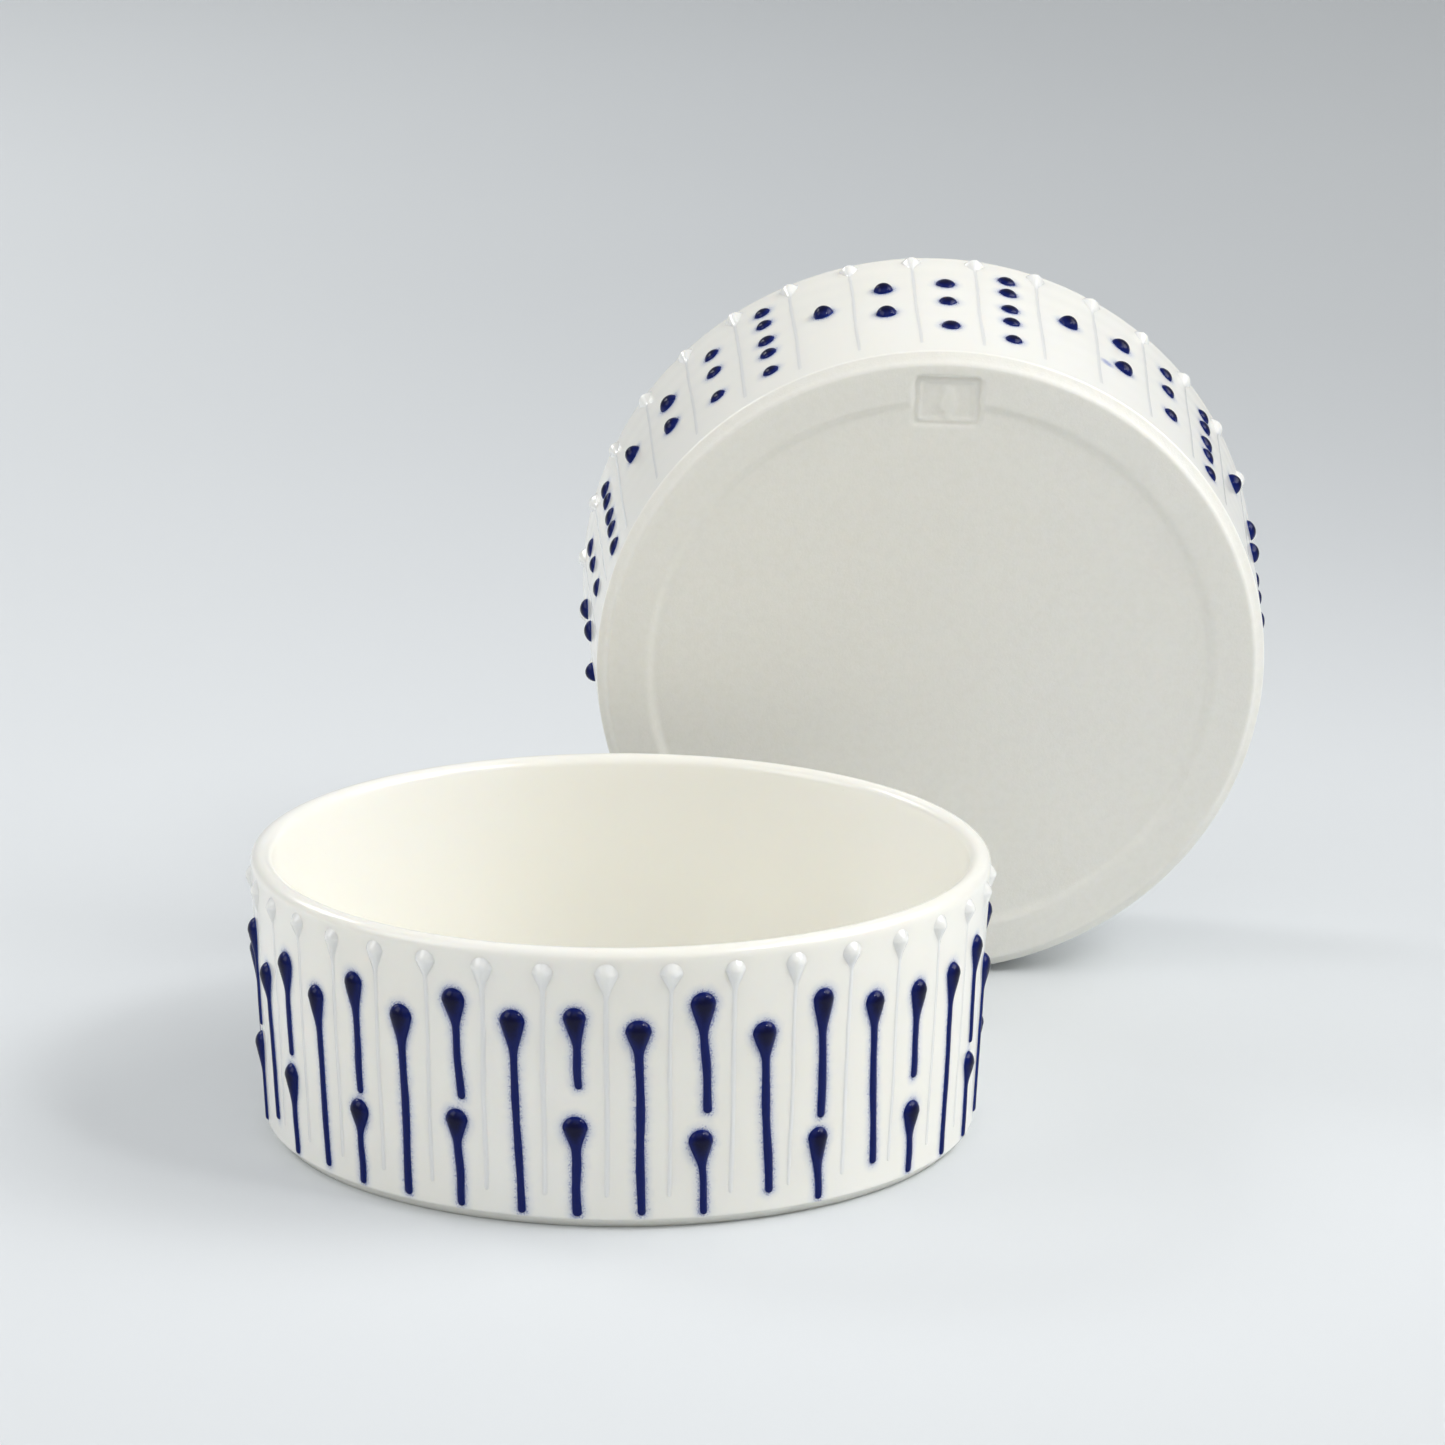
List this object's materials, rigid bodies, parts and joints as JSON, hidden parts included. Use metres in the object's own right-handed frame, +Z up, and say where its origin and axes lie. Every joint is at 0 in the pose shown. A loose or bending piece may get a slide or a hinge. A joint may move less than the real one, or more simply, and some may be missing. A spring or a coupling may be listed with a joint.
{
  "type": "porcelain trinket box",
  "caption": "Round two-piece porcelain trinket box: a base cup and a cover cup of one form, their walls set with raised white and cobalt-blue slip drops and dots.",
  "frame": {"origin": "centre of the base's foot, on the surface it stands on", "axes": "+Z up along the base's axis, -Y towards the front, +Y the long way from the base to the open cover"},
  "size_m": [0.145, 0.1575, 0.1029],
  "materials": {
    "porcelain_glaze": "clear gloss glaze on white porcelain, matt where the foot is bare",
    "cobalt_glaze": "cobalt-blue slip under clear gloss glaze"
  },
  "bodies": {
    "base": {"base_body": "porcelain_glaze", "base_white_drops": "porcelain_glaze", "base_long_drops": "cobalt_glaze", "base_upper_drops": "cobalt_glaze", "base_lower_drops": "cobalt_glaze"},
    "cover": {"cover_body": "porcelain_glaze", "cover_white_drops": "porcelain_glaze", "cover_single_dots": "cobalt_glaze", "cover_double_dots": "cobalt_glaze", "cover_triple_dots": "cobalt_glaze", "cover_five_dots": "cobalt_glaze"}
  },
  "joints": [
    {"name": "cover_lift", "type": "slide", "parent": "base", "child": "cover", "axis": [0, 0, 1], "range_m": [0, 0.06]}
  ]
}
